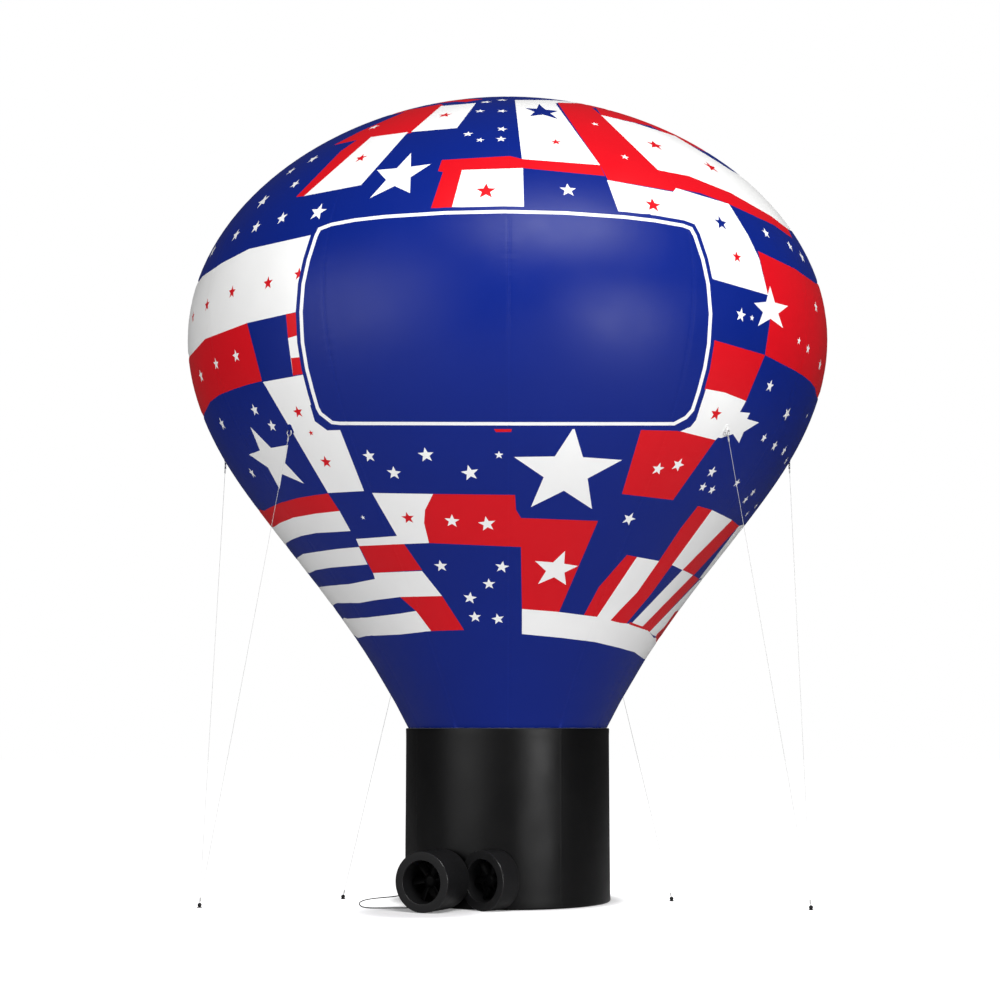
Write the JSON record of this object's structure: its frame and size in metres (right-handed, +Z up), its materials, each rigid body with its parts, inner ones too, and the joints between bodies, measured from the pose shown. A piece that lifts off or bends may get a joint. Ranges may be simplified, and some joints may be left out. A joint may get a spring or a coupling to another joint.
{
  "type": "hot air balloon shaped inflatable",
  "caption": "Ground-standing cold-air inflatable shaped like a hot air balloon, on a drum base, with air blowers, guy lines and a power lead.",
  "frame": {"origin": "on the ground at the middle of the base's underside", "axes": "+Z up, -Y to the front as in the picture, +X to the right"},
  "size_m": [4.9862, 4.9862, 6.166],
  "materials": {
    "envelope_fabric": "satin, printed",
    "base_fabric": "satin",
    "tether_patch": "satin",
    "rope": "matte",
    "anchor": "matte",
    "blower_body": "satin",
    "motor": "satin",
    "fan": "satin",
    "lead": "matte",
    "plug": "matte"
  },
  "bodies": {
    "inflatable": {"envelope_gore_01": "envelope_fabric", "envelope_gore_02": "envelope_fabric", "envelope_gore_03": "envelope_fabric", "envelope_gore_04": "envelope_fabric", "envelope_gore_05": "envelope_fabric", "envelope_gore_06": "envelope_fabric", "envelope_gore_07": "envelope_fabric", "envelope_gore_08": "envelope_fabric", "envelope_gore_09": "envelope_fabric", "envelope_gore_10": "envelope_fabric", "envelope_gore_11": "envelope_fabric", "envelope_gore_12": "envelope_fabric", "envelope_skirt": "envelope_fabric", "envelope_crown": "envelope_fabric", "base_wall_front": "base_fabric", "base_wall_right": "base_fabric", "base_wall_back": "base_fabric", "base_wall_left": "base_fabric", "base_floor": "base_fabric", "tether_ring_front_left": "tether_patch", "guy_line_front_left": "rope", "tether_ring_front_right": "tether_patch", "guy_line_front_right": "rope", "tether_ring_side_left": "tether_patch", "guy_line_side_left": "rope", "tether_ring_side_right": "tether_patch", "guy_line_side_right": "rope", "tether_ring_rear_left": "tether_patch", "guy_line_rear_left": "rope", "tether_ring_rear_right": "tether_patch", "guy_line_rear_right": "rope", "ground_anchor_front_left": "anchor", "ground_anchor_front_right": "anchor", "ground_anchor_rear_left": "anchor", "ground_anchor_rear_right": "anchor", "blower_housing_left": "blower_body", "blower_motor_left": "motor", "air_sleeve_left": "base_fabric", "blower_housing_middle": "blower_body", "blower_motor_middle": "motor", "air_sleeve_middle": "base_fabric", "lead_gland": "plug", "power_lead": "lead", "power_lead_coil": "lead", "power_lead_tail": "lead", "power_plug": "plug"},
    "fan_left": {"blower_fan_left": "fan"},
    "fan_middle": {"blower_fan_middle": "fan"}
  },
  "joints": [
    {"name": "fan_left_spin", "type": "hinge", "parent": "inflatable", "child": "fan_left", "pos_m": [-0.55235, -0.85408, 0.2148], "axis": [-0.454, -0.891, 0], "continuous": true},
    {"name": "fan_middle_spin", "type": "hinge", "parent": "inflatable", "child": "fan_middle", "pos_m": [-0.12539, -0.79264, 0.2148], "axis": [-0.682, -0.7314, 0], "continuous": true}
  ]
}
